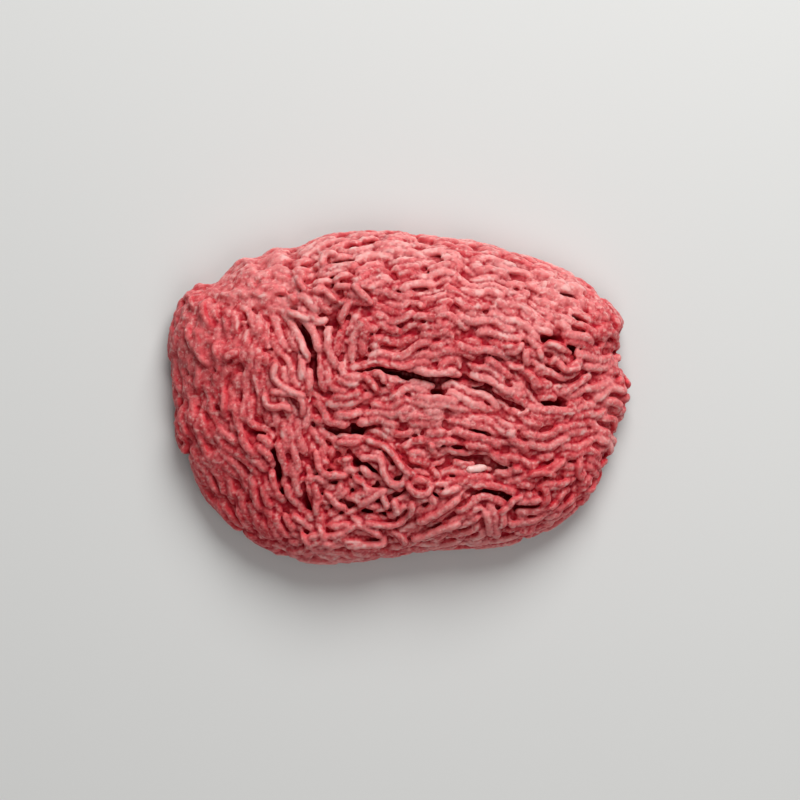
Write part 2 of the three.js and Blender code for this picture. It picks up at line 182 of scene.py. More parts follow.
# The lie of the strands: lines that they run along, seen from above
GRAIN = [
    # rows of the upper right, with their shared crests
    [(-40, 59), (-28, 64), (-14, 65), (1, 66), (17, 64), (33, 62)],
    [(33, 60), (49, 57), (66, 51), (80, 41), (88, 31)],
    [(-28, 47), (-16, 48), (1, 48), (10, 50), (19, 52), (29, 47), (41, 46), (54, 43)],
    [(-23, 35), (-16, 39), (-10, 39), (-3, 36), (5, 37), (19, 40), (27, 36), (45, 36), (54, 30)],
    [(-21, 26), (-20, 33), (-15, 36), (-10, 34), (-3, 29), (9, 34), (19, 35), (27, 31), (39, 31), (49, 24)],
    [(-17, 20), (-16, 27), (-13, 31), (-8, 28), (-3, 24), (5, 28), (13, 29), (20, 30), (26, 26), (41, 23)],
    [(-10, 21), (-1, 22), (7, 24), (17, 26), (23, 22), (37, 20), (45, 18)],
    # right shoulder and the bowl below it
    [(49, 51), (62, 46), (74, 41), (84, 33)],
    [(54, 41), (64, 35), (76, 31), (87, 28)],
    [(58, 22), (66, 18), (78, 16), (89, 15)],
    [(49, 13), (56, 7), (66, 4), (78, 9), (90, 11)],
    [(37, 4), (49, -2), (60, -7), (72, -6), (84, -3), (93, -2)],
    [(41, -6), (51, -11), (62, -13), (72, -9), (82, -11), (89, -17)],
    # middle band, sloping down to the right
    [(-33, -3), (-22, -5), (-10, -1), (1, -1), (13, -2), (23, -5), (33, -8)],
    [(-12, -7), (1, -6), (13, -7), (27, -11), (41, -18), (54, -22)],
    [(-8, -12), (3, -16), (13, -14), (23, -15), (33, -19)],
    [(9, -26), (21, -24), (33, -25), (41, -29), (54, -30), (72, -26), (82, -26)],
    # lower right
    [(29, -36), (39, -35), (49, -37), (62, -38), (74, -33)],
    [(3, -58), (13, -53), (23, -46), (33, -40)],
    [(35, -41), (39, -49), (40, -57)],
    [(13, -63), (29, -61), (41, -58), (56, -55), (66, -49), (76, -41)],
    # loose middle
    [(-22, -47), (-10, -40), (1, -34)],
    [(-13, -16), (-5, -20), (1, -27), (5, -33)],
    [(-31, -21), (-34, -27), (-28, -31), (-18, -30), (-8, -34)],
    [(-28, -56), (-20, -52), (-10, -52), (-5, -58)],
    [(-40, -63), (-24, -63), (-8, -63), (7, -61)],
    # left lobe, running from back to front
    [(-59, 37), (-56, 24), (-56, 11), (-52, 0)],
    [(-46, 31), (-39, 20), (-36, 7), (-33, -3), (-31, -17)],
    [(-64, 24), (-62, 7), (-64, -5), (-64, -17)],
    [(-46, -2), (-40, -7), (-41, -17), (-38, -25), (-42, -37), (-36, -50)],
    [(-75, -1), (-73, -13), (-65, -21), (-56, -26), (-52, -37), (-50, -50)],
    [(-68, -24), (-62, -34), (-60, -46), (-56, -58)],
    [(-89, -17), (-84, -31), (-75, -44), (-64, -56), (-52, -61)],
    [(-93, 28), (-93, 11), (-91, -9)],
    [(-84, 38), (-86, 24), (-84, 5)],
    # upper left
    [(-89, 40), (-79, 45), (-68, 51), (-58, 55)],
    [(-60, 40), (-48, 41), (-39, 37), (-30, 32)],
    [(-40, 57), (-30, 57), (-20, 58), (-11, 60)],
]

# Where strands lie anyhow and where they are pressed together: x, y, reach along X and Y, strength
LOOSE_SPOTS = [
    (-14, -38, 24, 14, 0.9), (-30, -52, 16, 8, 0.7), (53, 16, 9, 7, 0.6), (-30, 42, 20, 13, 0.5),
    (-84, 20, 17, 28, 0.6), (62, -38, 20, 10, 0.6), (-68, 44, 26, 12, 0.6), (-25, 57, 30, 8, 0.35),
    (74, 40, 14, 10, 0.7), (-88, -20, 10, 14, 0.6),
]
PRESSED_SPOTS = [
    (-86, 20, 17, 32, 1.0), (-64, 46, 28, 13, 0.9), (-70, 18, 12, 16, 0.6), (72, 42, 20, 12, 0.7),
    (5, 60, 60, 9, 0.3), (-78, -30, 16, 24, 0.5), (-10, -64, 60, 6, 0.4), (88, 0, 8, 30, 0.3),
]
# Where the meat is paler, and where painted shade darkens the rim that slopes away from the light: x, y,
# reach along X and Y, strength
PALE_SPOTS = [(86, -4, 8, 22, 0.3), (50, 44, 30, 18, 0.85), (24, -8, 26, 8, 0.7), (5, 58, 50, 10, 0.9)]
RIM_SHADE_SPOTS = [(-90, 5, 24, 48, 2.3), (-70, -40, 26, 26, 2.0), (70, -34, 26, 20, 1.2), (92, 5, 14, 40, 0.8)]
# Where loose strands and small bits are strewn: x, y, reach along X and Y, how many
STREWN_STRANDS = [
    (-14, -38, 22, 13, 34), (-30, -52, 18, 7, 14), (54, 15, 8, 7, 5), (-32, 44, 18, 10, 14),
    (-78, 20, 12, 26, 8), (64, -38, 16, 9, 10), (-66, 44, 20, 8, 8),
]
STREWN_BITS = [
    (-82, 16, 11, 26, 200), (-66, 44, 18, 9, 110), (66, -36, 14, 9, 40), (72, 42, 16, 10, 60),
    (0, 0, 88, 62, 180),
]
# Where the core lies deeper under the strands: x, y, reach along X and Y, depth
HOLLOWS = [
    (-12, -38, 26, 13, 2.2), (54, 16, 8, 6, 1.8), (30, -28, 12, 4, 1.4), (-30, -30, 8, 6, 1.6),
    (-22, 24, 12, 8, 1.2),
]
# Pale flecks of fat on the skin: x, y, heading in degrees, length, width
FLECKS = [
    (-82, 35.4, 80, 4.5, 1.5), (-64.5, 29.3, 85, 5.5, 2.2), (-73.6, 41.2, 60, 3.5, 1.8),
    (68.5, -6.4, 4, 6.5, 2.2), (88, -4, -20, 5, 2.4), (-20.5, 33.5, 15, 4, 1.5), (42, 25, -20, 6, 1.8),
    (81, -8, 30, 6, 2), (-4, 6.5, 60, 5, 1.6), (2.5, 57, 0, 10, 2), (31, 47, 5, 9, 2.2),
    (-27, 52, 30, 6, 1.6), (62, 55, -20, 7, 2), (-55, 41, 20, 5, 2), (-60, -30, 50, 5, 1.6),
    (-18, -58, 0, 9, 1.6),
]

# Single strands that show plainly, each lying on the rows: their lines seen from above
LOOSE_LINES = [
    # loose middle
    [(-13.8, -16.2), (-5.1, -19.9), (0, -25.6), (5, -31.2)],
    [(-16.1, -24), (-7.5, -24.6), (-6, -29.3), (-2.6, -34.2), (1.8, -34.6)],
    [(3.2, -33), (4.4, -36), (7.4, -38.6), (11, -38.3),
     (13, -35.8), (11, -33.1), (7.8, -32.6), (5.2, -33.6)],
    [(14, -34.6), (20.5, -34.6)],
    [(16.3, -38.7), (25, -35.6)],
    [(-16.3, -43.7), (-10.1, -39.9), (-4.4, -36.2)],
    [(-27.5, -56.2), (-21.4, -53.1), (-16.3, -51.2), (-10.8, -53.1), (-6.7, -56.2)],
    [(-13.8, -50), (-5.1, -51.2), (1.2, -50), (5, -45.6), (5.5, -41.1)],
    [(-6.3, -38.5), (-4.5, -45)],
    [(-2, -40), (0, -47)],
    [(-33.2, -20.3), (-32, -28.1), (-27.5, -31.2), (-24.4, -29.3)],
    [(-25, -17.9), (-15.1, -17.7)],
    [(6.7, -50.5), (16.3, -45.6), (25, -39.9)],
    [(5, -57.4), (14.4, -53.7), (25, -50)],
    [(-21.4, -59.6), (-5.1, -58.6)],
    [(12.4, -17.9), (14.9, -23)],
    # curls at the edge of the stacked folds, and a hook at the back
    [(-10.8, 11), (-7, 9.5), (-5.1, 5.3)],
    [(-14, 9), (-10.5, 6), (-8.5, 2.5)],
    [(-30.7, 53), (-29.9, 57.3), (-27.9, 58.2), (-24, 57.5)],
    # the fan at the right
    [(50.5, 22.2), (45, 17)],
    [(52.2, 20), (50.8, 16.1), (52.3, 12.6)],
    [(55.8, 20.2), (57.8, 15)],
    [(60.5, 13.2), (62.9, 15.7), (65.1, 13), (67.3, 11.4), (73.2, 12.3)],
    [(58.2, 21.7), (62.6, 21.2), (67.5, 18.8)],
    [(54.8, 12), (56, 10.8)],
    # bends of the left lobe
    [(-63.3, 19.2), (-70.2, 15.5)],
    [(-53.9, 2.4), (-52, -3.3), (-45.1, -3.3), (-42.6, -5.7)],
    [(-51.5, 2.4), (-41.3, 1.2), (-38.2, -2.7), (-38.9, -7.7)],
    [(-48.8, 14.9), (-50.1, 8.5), (-45.1, 3.7), (-36.9, 0.4)],
]

# A piece of plain fat: middle, heading in degrees, length, thickness
FAT_PIECE = (31.3, -28.2, 8, 8.4, 2.7)


class Noise:
    """Smooth noise from -1 to 1 over three coordinates, the same on every run."""

    def __init__(self, seed):
        self.table = np.random.default_rng(seed).uniform(-1, 1, (32, 32, 32))

    def __call__(self, x, y, z=0.0):
        whole, part = [], []
        for value in np.broadcast_arrays(x, y, z):
            floor = np.floor(value)
            whole.append(floor.astype(int))
            share = value - floor
            part.append(share * share * (3 - 2 * share))
        total = 0.0
        for corner in np.ndindex(2, 2, 2):
            weight = 1.0
            for axis in range(3):
                weight = weight * (part[axis] if corner[axis] else 1 - part[axis])
            place = tuple((whole[axis] + corner[axis]) & 31 for axis in range(3))
            total = total + weight * self.table[place]
        return total


def running_sum(steps):
    """How much the steps come to before each of them and at their end, from 0."""
    return np.concatenate([[0], np.cumsum(steps)])


def unit(vectors, least=0.0):
    """The vectors brought to length 1; least keeps empty ones from a division by 0."""
    return vectors / (np.linalg.norm(vectors, axis=-1, keepdims=True) + least)


def closed_curve(points, per_span):
    """Points along a closed smooth curve through the given ones."""
    p1 = np.array(points, float)
    p0, p2, p3 = np.roll(p1, 1, 0), np.roll(p1, -1, 0), np.roll(p1, -2, 0)
    t = (np.arange(per_span) / per_span)[None, :, None]
    a, b, c, d = (p[:, None, :] for p in (p0, p1, p2, p3))
    curve = 0.5 * (
        2 * b + (c - a) * t + (2 * a - 5 * b + 4 * c - d) * t**2 + (3 * b - a - 3 * c + d) * t**3
    )
    return curve.reshape(-1, p1.shape[1])


def open_curve(points, per_span):
    """Points along an open smooth curve through the given ones."""
    points = np.array(points, float)
    ends = np.concatenate([[2 * points[0] - points[1]], points, [2 * points[-1] - points[-2]]])
    curve = closed_curve(ends, per_span).reshape(len(ends), per_span, 2)[1:-2]
    return np.concatenate([curve.reshape(-1, 2), points[-1:]])


def outline_table():
    """The outline's angles, in order, and its radius at each."""
    curve = closed_curve(OUTLINE, 16) * (LENGTH / 2, WIDTH / 2)
    angle = np.arctan2(curve[:, 1], curve[:, 0])
    order = np.argsort(angle)
    return angle[order], np.hypot(curve[:, 0], curve[:, 1])[order]


def profile_table():
    """The side view from the top's middle to the foot: way along the skin, way out and height."""
    mean_radius = (LENGTH + WIDTH) / 4
    over = np.radians(np.arange(CROWN_STEPS))
    below = np.radians(np.arange(10, 91, 10))
    out = np.concatenate([np.sin(over) ** (2 / FLATNESS), 1 - TUCK / mean_radius * (1 - np.cos(below))])
    up = np.concatenate([BELLY + (HEIGHT - BELLY) * np.cos(over), BELLY * (1 - np.sin(below))])
    steps = np.hypot(np.diff(out) * mean_radius, np.diff(up)) / mean_radius
    return running_sum(steps), out, up


OUTLINE_ANGLE, OUTLINE_RADIUS = outline_table()
ALONG, OUT, UP = profile_table()
FOOT = ALONG[-1]


def smoothstep(value, low, high):
    """From 0 at low to 1 at high, with soft ends."""
    share = np.clip((value - low) / (high - low), 0, 1)
    return share * share * (3 - 2 * share)


def outline_radius(angle):
    """From the middle to the outline, in the direction of an angle."""
    return np.interp(angle, OUTLINE_ANGLE, OUTLINE_RADIUS, period=2 * math.pi)


def near_line(line, x, y):
    """Distance to a line of points, the signed side, and how far past the line's ends."""
    best = np.full(np.shape(x), np.inf)
    best_side, best_past = np.zeros_like(best), np.zeros_like(best)
    for (ax, ay), (bx, by) in zip(line, line[1:]):
        length = math.hypot(bx - ax, by - ay)
        dx, dy = (bx - ax) / length, (by - ay) / length
        along = (x - ax) * dx + (y - ay) * dy
        side = (x - ax) * dy - (y - ay) * dx
        past = along - np.clip(along, 0, length)
        distance = np.hypot(side, past)
        nearer = distance < best
        best = np.where(nearer, distance, best)
        best_side = np.where(nearer, side, best_side)
        best_past = np.where(nearer, np.abs(past), best_past)
    return best, best_side, best_past


def relief(x, y):
    """How far the top stands above or below the plain dome."""
    rise = 1.5 * np.sin(x / 11 + y / 17 + 0.7) * np.sin(y / 9 - x / 23 + 2.1)
    rise = rise + 0.7 * np.sin(x / 5.3 - y / 8.1 + 4) * np.sin(y / 4.7 + x / 9.7)
    for lx, ly, reach, lift in LOBES:
        rise = rise + lift * np.exp(-((x - lx) ** 2 + (y - ly) ** 2) / reach**2)
    for line, drop, reach in FOLDS:
        distance, side, past = near_line(line, x, y)
        shape = smoothstep(side, 0, 1.5) * np.exp(-distance / reach - (past / 5) ** 2)
        rise = rise - drop * shape
    for line, lift, reach in RIPPLES:
        distance, _, _ = near_line(line, x, y)
        rise = rise + lift * np.exp(-((distance / reach) ** 2))
    return rise


def skin(u, v):
    """A place on the skin; u and v are millimetres from the middle on the skin rolled out flat."""
    angle = np.arctan2(v, u)
    radius = outline_radius(angle)
    along = np.hypot(u, v) / radius
    out = np.interp(along, ALONG, OUT) * radius
    x, y = out * np.cos(angle), out * np.sin(angle)
    z = np.interp(along, ALONG, UP) + smoothstep(FOOT - along, 0.12, 0.5) * relief(x, y)
    return np.stack([x, y, z], -1)


def skin_normal(u, v):
    """The direction straight out of the skin."""
    step = 0.8
    across = skin(u + step, v) - skin(u - step, v)
    back = skin(u, v + step) - skin(u, v - step)
    return unit(np.cross(across, back))


def roll_out(x, y):
    """From a place seen from above to its place on the rolled-out skin."""
    x, y = np.asarray(x, float), np.asarray(y, float)
    angle = np.arctan2(y, x)
    radius = outline_radius(angle)
    share = np.minimum(np.hypot(x, y) / radius, 1)
    walked = np.interp(share, OUT[:CROWN_STEPS], ALONG[:CROWN_STEPS]) * radius
    return walked * np.cos(angle), walked * np.sin(angle)


# A grid over the rolled-out skin holds everything that laying a strand asks for
GRID_REACH = 152
GRID_AXIS = np.arange(-GRID_REACH, GRID_REACH + 1, dtype=float)
GRID_U, GRID_V = np.meshgrid(GRID_AXIS, GRID_AXIS, indexing="ij")
GRID_SKIN = skin(GRID_U, GRID_V)


def gap_clearance(x, y):
    """Millimetres from the edge of the nearest gap."""
    clear = np.full(np.shape(x), 99.0)
    for line, width in GAPS:
        distance, _, past = near_line(line, x, y)
        clear = np.minimum(clear, distance - width / 2 + 0.2 * past)
    return clear


def gap_pull(x, y):
    """How strongly the nearest gap bends the rows into its own direction, and that direction."""
    pull, along = np.zeros(np.shape(x)), np.zeros(np.shape(x))
    for line, width in GAPS:
        for (ax, ay), (bx, by) in zip(line, line[1:]):
            distance, _, past = near_line([(ax, ay), (bx, by)], x, y)
            clear = np.maximum(distance - width / 2, 0)
            here = PULL * np.exp(-((clear / PULL_REACH) ** 2) - 0.3 * past)
            along = np.where(here > pull, math.atan2(by - ay, bx - ax), along)
            pull = np.maximum(pull, here)
    return pull, along


def gap_sides(room):
    """Places along both sides of the gaps, on the rolled-out skin, where the first rows start."""
    places = []
    for line, width in GAPS:
        for (ax, ay), (bx, by) in zip(line, line[1:]):
            length = math.hypot(bx - ax, by - ay)
            off = (width / 2 + room * 1.02) / length
            for share in (0.5, 0.1, 0.9):
                x, y = ax + (bx - ax) * share, ay + (by - ay) * share
                for side in (-off, off):
                    u, v = roll_out(x - (by - ay) * side, y + (bx - ax) * side)
                    places.append((float(u), float(v)))
    return places


def trench_depth(x, y):
    """How much deeper the core lies under the gaps; wider gaps are deeper."""
    depth = np.zeros(np.shape(x))
    for line, width in GAPS:
        distance, _, past = near_line(line, x, y)
        clear = np.maximum(distance - width / 2 + 0.2 * past, 0)
        deepest = min(GAP_DEPTH, 4.2 * (width - 1))
        depth = np.maximum(depth, deepest * np.exp(-((clear / TRENCH_REACH) ** 2)))
    return depth


def spot_field(x, y, spots):
    """The strongest of several soft spots: x, y, reach along X, reach along Y, strength."""
    field = np.zeros(np.shape(x))
    for sx, sy, rx, ry, most in spots:
        field = np.maximum(field, most * np.exp(-(((x - sx) / rx) ** 2) - ((y - sy) / ry) ** 2))
    return field


def looseness(x, y):
    """From 0, strands in neat rows, to 1, strands lying anyhow."""
    return spot_field(x, y, LOOSE_SPOTS)


def pressed(x, y):
    """From 0, strands that stand out, to 1, strands pressed into one another."""
    return spot_field(x, y, PRESSED_SPOTS)


def tone_and_shade_of_place(x, y):
    """Above 0 where the meat is paler and below 0 where shade is painted at the rim."""
    return spot_field(x, y, PALE_SPOTS) - spot_field(x, y, RIM_SHADE_SPOTS)


def base_heading():
    """The strands' heading at each place of the grid, blended from the grain lines near it."""
    at_u, at_v, angle = [], [], []
    for line in GRAIN:
        u, v = roll_out(*np.array(line, float).T)
        for i in range(len(u) - 1):
            span = math.hypot(u[i + 1] - u[i], v[i + 1] - v[i])
            count = max(1, round(span / 4))
            share = (np.arange(count) + 0.5) / count
            at_u.extend(u[i] + (u[i + 1] - u[i]) * share)
            at_v.extend(v[i] + (v[i + 1] - v[i]) * share)
            angle.extend([math.atan2(v[i + 1] - v[i], u[i + 1] - u[i])] * count)
    at_u, at_v, angle = np.array(at_u), np.array(at_v), np.array(angle)
    c, s = np.zeros_like(GRID_U), np.zeros_like(GRID_U)
    for row in range(len(GRID_AXIS)):
        away = (GRID_U[row, :, None] - at_u) ** 2 + (GRID_V[row, :, None] - at_v) ** 2
        weight = (away + 7) ** -2.0
        c[row] = weight @ np.cos(2 * angle)
        s[row] = weight @ np.sin(2 * angle)
    return np.arctan2(s, c) / 2


def waves(heading, seed):
    """Small side-to-side waves that neighbouring strands share."""
    noise = Noise(seed)
    lying = np.cos(heading) ** 2
    drift = 2.4 * noise(GRID_U / 34, GRID_V / 20, 3.5)
    quick_u = 0.55 * noise(GRID_U / 4.6, GRID_V / 13.0, 0.5) + 0.45 * np.sin(GRID_U / 2.3 + drift)
    quick_v = 0.7 * noise(GRID_U / 13.0, GRID_V / 4.6, 7.5) + 0.3 * np.sin(GRID_V / 2.5 + drift)
    return lying * quick_u + (1 - lying) * quick_v


def layer_grid(heading, seed, wave, turn, loose_turn):
    """Per grid place: x, y, z, cosine and sine of twice the heading, gap clearance, looseness."""
    x, y = GRID_SKIN[..., 0], GRID_SKIN[..., 1]
    slow = Noise(seed + 1)(GRID_U / 16, GRID_V / 16)
    loose = looseness(x, y)
    angle = heading + wave * waves(heading, seed) + turn * slow
    angle = angle + loose_turn * loose * Noise(seed + 2)(GRID_U / 6, GRID_V / 6)
    pull, along = gap_pull(x, y)
    lying = (1 - pull) * np.cos(2 * angle) + pull * np.cos(2 * along)
    turned = (1 - pull) * np.sin(2 * angle) + pull * np.sin(2 * along)
    channels = [GRID_SKIN, lying[..., None], turned[..., None]]
    channels += [gap_clearance(x, y)[..., None], loose[..., None]]
    return np.concatenate(channels, -1).tolist()


def look_up(grid, u, v):
    """All channels of the grid at a place, blended between its four nearest points."""
    i = min(max(u + GRID_REACH, 0), 2 * GRID_REACH - 0.001)
    j = min(max(v + GRID_REACH, 0), 2 * GRID_REACH - 0.001)
    i0, j0 = int(i), int(j)
    fi, fj = i - i0, j - j0
    a, b = grid[i0][j0], grid[i0 + 1][j0]
    c, d = grid[i0][j0 + 1], grid[i0 + 1][j0 + 1]
    wa, wb, wc, wd = (1 - fi) * (1 - fj), fi * (1 - fj), (1 - fi) * fj, fi * fj
    return [wa * p + wb * q + wc * r + wd * s for p, q, r, s in zip(a, b, c, d)]


class Rows:
    """Strands laid side by side along a grid's headings, kept a spacing apart."""

    def __init__(self, grid, spacing, gap_room, seed):
        self.grid = grid
        self.spacing = spacing
        self.gap_room = gap_room
        self.rng = np.random.default_rng(seed)
        self.cells = {}
        self.lines = []

    def cell(self, x, y, z):
        """The cube of space that a place is in."""
        return int(x // self.spacing), int(y // self.spacing), int(z // self.spacing)

    def is_free(self, here, share):
        """Whether a place is clear of gaps and of the strands laid so far."""
        x, y, z = here[0], here[1], here[2]
        if z < STRAND * 0.45 or here[5] < self.gap_room * share:
            return False
        near = (self.spacing * share) ** 2
        i, j, k = self.cell(x, y, z)
        for di, dj, dk in product((-1, 0, 1), repeat=3):
            for px, py, pz in self.cells.get((i + di, j + dj, k + dk), ()):
                if (px - x) ** 2 + (py - y) ** 2 + (pz - z) ** 2 < near:
                    return False
        return True

    def walk(self, u, v, way, reach):
        """Steps of a millimetre along the heading for as long as the way is free."""
        last = None
        steps = []
        for _ in range(int(reach)):
            here = look_up(self.grid, u, v)
            angle = math.atan2(here[4], here[3]) / 2
            du, dv = math.cos(angle), math.sin(angle)
            forward = way if last is None else du * last[0] + dv * last[1]
            if forward < 0:
                du, dv = -du, -dv
            last = (du, dv)
            u, v = u + du, v + dv
            here = look_up(self.grid, u, v)
            if not self.is_free(here, 0.8):
                break
            steps.append((u, v, *here[:3]))
        return steps

    def lay(self, u, v, longest, shortest):
        """Lays one strand both ways from a place, or none where it would be too short."""
        here = look_up(self.grid, u, v)
        if not self.is_free(here, 0.97):
            return None
        reach = self.rng.uniform(0.3, 1.0) * longest / 2 * (1 - 0.78 * here[6])
        back = self.walk(u, v, -1, reach)
        ahead = self.walk(u, v, 1, reach)
        line = back[::-1] + [(u, v, *here[:3])] + ahead
        if len(line) < shortest:
            return None
        for _, _, x, y, z in line:
            self.cells.setdefault(self.cell(x, y, z), []).append((x, y, z))
        self.lines.append(np.array(line)[:, :2])
        return line

    def beside(self, line):
        """Places just off both sides of a strand, where the next rows can start."""
        for u, v, *_ in line[::3]:
            here = look_up(self.grid, u, v)
            angle = math.atan2(here[4], here[3]) / 2 + math.pi / 2
            off_u, off_v = math.cos(angle) * self.spacing, math.sin(angle) * self.spacing
            yield u + off_u, v + off_v
            yield u - off_u, v - off_v

    def fill(self, starts, longest, shortest):
        """Lays rows beside the gaps and beside one another until no start is left."""
        golden = math.pi * (3 - math.sqrt(5))
        queue = gap_sides(self.gap_room)
        for k in range(starts):
            angle = k * golden
            radius = float(outline_radius(angle)) * FOOT * math.sqrt((k + 0.5) / starts)
            queue.append((radius * math.cos(angle), radius * math.sin(angle)))
            while queue:
                line = self.lay(*queue.pop(0), longest, shortest)
                if line:
                    queue.extend(self.beside(line))


def resample(line, step):
    """A strand's rolled-out places at even steps, smoothed a little."""
    line = np.asarray(line, float)
    if len(line) > 4:
        line[1:-1] = 0.25 * line[:-2] + 0.5 * line[1:-1] + 0.25 * line[2:]
    way = running_sum(np.hypot(*np.diff(line, axis=0).T))
    count = max(3, int(round(way[-1] / step)) + 1)
    at = np.linspace(0, way[-1], count)
    return np.stack([np.interp(at, way, line[:, 0]), np.interp(at, way, line[:, 1])], -1)


def smooth(values, times):
    """Evens out a row of values by its neighbours."""
    for _ in range(times):
        padded = np.concatenate([values[:1], values, values[-1:]])
        values = 0.25 * padded[:-2] + 0.5 * values + 0.25 * padded[2:]
    return values


SWAY = Noise(5)
REGION = Noise(6)


class Strand:
    """One strand: its places on the rolled-out skin, its height over the skin and its thickness."""

    def __init__(self, line, radius, tone, sway=0.4, flattened=0.0):
        self.flat = resample(line, SECTION_STEP)
        way = np.arange(len(self.flat)) * SECTION_STEP
        across = unit(np.gradient(self.flat, axis=0)[:, ::-1] * (1, -1), TINY)
        shift = SWAY(way / 2.4, self.flat[0, 0] * 3.1, self.flat[0, 1] * 3.1)
        self.flat = self.flat + across * (shift * sway)[:, None]
        self.ground = skin(self.flat[:, 0], self.flat[:, 1])
        x, y = self.ground[:, 0], self.ground[:, 1]
        self.pressed = pressed(x, y)
        self.radius = radius
        self.flattened = flattened
        # The place's share pales some meat and darkens the rim with painted shade.
        self.tone = 0.6 * tone + 0.4 * (0.5 + 0.5 * REGION(x / 14, y / 14)) + 0.3 * tone_and_shade_of_place(x, y)
        self.height = np.zeros(len(self.flat))

    def middles(self):
        """The strand's middle line in space, and the way up at each of its places."""
        normal = skin_normal(self.flat[:, 0], self.flat[:, 1])
        places = self.ground + normal * self.height[:, None]
        places[:, 2] = np.maximum(places[:, 2], LOWEST_MIDDLE)
        return places, normal


class Pile:
    """The strands below, asked how high a strand on top of them comes to lie."""

    def __init__(self, strands):
        total = sum(len(s.flat) for s in strands)
        self.tree = kdtree.KDTree(max(1, total))
        self.heights = []
        for strand in strands:
            for place, height in zip(strand.ground, strand.height):
                self.tree.insert(Vector(place), len(self.heights))
                self.heights.append((height, strand.radius))
        self.tree.balance()

    def rest(self, strand, floor, press):
        """Height of each of the strand's places, pressed a little into what carries it."""
        result = np.full(len(strand.flat), floor, float)
        for i, place in enumerate(strand.ground):
            for _, index, away in self.tree.find_range(Vector(place), 2.6):
                height, radius = self.heights[index]
                reach = (radius + strand.radius) * press
                if away < reach:
                    result[i] = max(result[i], height + math.sqrt(reach**2 - away**2))
        return smooth(result, 5)


def dip_ends(strand, first, last, reach):
    """Lets the two ends of a strand sink, each by its own depth."""
    way = np.arange(len(strand.flat)) * SECTION_STEP
    strand.height = strand.height - first * (1 - smoothstep(way, 0, reach))
    strand.height = strand.height - last * (1 - smoothstep(way[::-1], 0, reach))


def tube_sections(strand, noise, index):
    """Middles, ways up and radii of a strand's sections, with its ends rounded off."""
    middles, normal = strand.middles()
    way = running_sum(np.linalg.norm(np.diff(middles, axis=0), axis=1))
    cap = strand.radius
    inner = way[(way > cap * 1.15) & (way < way[-1] - cap * 1.15)]
    near_end = cap * np.array([0.05, 0.25, 0.6, 1.0])
    at = np.concatenate([near_end, inner, way[-1] - near_end[::-1]])
    if way[-1] < 2.4 * cap:
        at = way[-1] * np.array([0.04, 0.15, 0.35, 0.5, 0.65, 0.85, 0.96])
    middle = np.stack([np.interp(at, way, middles[:, k]) for k in range(3)], -1)
    up = np.stack([np.interp(at, way, normal[:, k]) for k in range(3)], -1)
    from_end = np.minimum(at, way[-1] - at)
    round_off = np.sqrt(np.clip(1 - (1 - np.minimum(from_end / cap, 1)) ** 2, 0.02, 1))
    swell = 1 + 0.14 * noise(at / 2.3, index * 0.73, 3.3) + 0.06 * noise(at / 1.1, index * 0.91, 9.1)
    torn = 1 - 0.2 * (1 - smoothstep(from_end, 0, 3.0)) * (1 + noise(at / 1.2, index * 1.7, 1.1))
    squeeze = 1 + 0.1 * np.interp(at, np.linspace(0, way[-1], len(strand.pressed)), strand.pressed)
    return middle, up, strand.radius * round_off * swell * torn * squeeze


def tubes(strands, sides, seed):
    """Points and faces of many strands, each a lumpy closed tube; a triangle's fourth corner is -1."""
    noise, lumps = Noise(seed), Noise(seed + 1)
    turn = np.arange(sides) / sides * 2 * math.pi
    points, faces = [], []
    count = 0
    for index, strand in enumerate(strands):
        middle, up, radius = tube_sections(strand, noise, index)
        along = unit(np.gradient(middle, axis=0))
        side = unit(np.cross(along, up))
        lift = np.cross(side, along)
        wide = (1 + strand.flattened) * np.cos(turn)[None, :, None]
        high = (1 - strand.flattened) * np.sin(turn)[None, :, None]
        ring = side[:, None, :] * wide + lift[:, None, :] * high
        rough = middle[:, None, :] + ring * radius[:, None, None]
        bump = lumps(rough[..., 0] / 1.5, rough[..., 1] / 1.5, rough[..., 2] / 1.5)
        places = middle[:, None, :] + ring * (radius[:, None] * (1 + 0.1 * bump))[..., None]
        places[..., 2] = np.maximum(places[..., 2], 0.02)
        first = middle[0] - along[0] * radius[0] * 0.4
        last = middle[-1] + along[-1] * radius[-1] * 0.4
        rows = len(middle)
        points.append(np.concatenate([places.reshape(-1, 3), [first, last]]))
        base = count + np.arange(rows * sides).reshape(rows, sides)
        after = np.roll(base, -1, 1)
        quads = np.stack([base[:-1], after[:-1], after[1:], base[1:]], -1).reshape(-1, 4)
        tips = [count + rows * sides, count + rows * sides + 1]
        start = np.stack([after[0], base[0], np.full(sides, tips[0]), np.full(sides, -1)], -1)
        end = np.stack([base[-1], after[-1], np.full(sides, tips[1]), np.full(sides, -1)], -1)
        faces.append(np.concatenate([quads, start, end]))
        count += rows * sides + 2
    return np.concatenate(points), np.concatenate(faces)


def add_object(name, data):
    """A new object in the scene."""
    made = bpy.data.objects.new(name, data)
    bpy.context.scene.collection.objects.link(made)
    return made


def build_mesh(name, points, faces, fields=()):
    """A smooth mesh object in metres, with named values at its points."""
    mesh = bpy.data.meshes.new(name)
    sizes = (faces >= 0).sum(1)
    corners = faces[faces >= 0]
    mesh.vertices.add(len(points))
    mesh.vertices.foreach_set("co", (points * MM).astype(np.float32).reshape(-1))
    mesh.loops.add(len(corners))
    mesh.loops.foreach_set("vertex_index", corners.astype(np.int32))
    mesh.polygons.add(len(faces))
    mesh.polygons.foreach_set("loop_start", running_sum(sizes)[:-1].astype(np.int32))
    mesh.polygons.foreach_set("loop_total", sizes.astype(np.int32))
    mesh.polygons.foreach_set("use_smooth", np.ones(len(faces), bool))
    for label, values in fields:
        attribute = mesh.attributes.new(label, "FLOAT", "POINT")
        attribute.data.foreach_set("value", values.astype(np.float32))
    mesh.update()
    mesh.validate()
    return add_object(name, mesh)


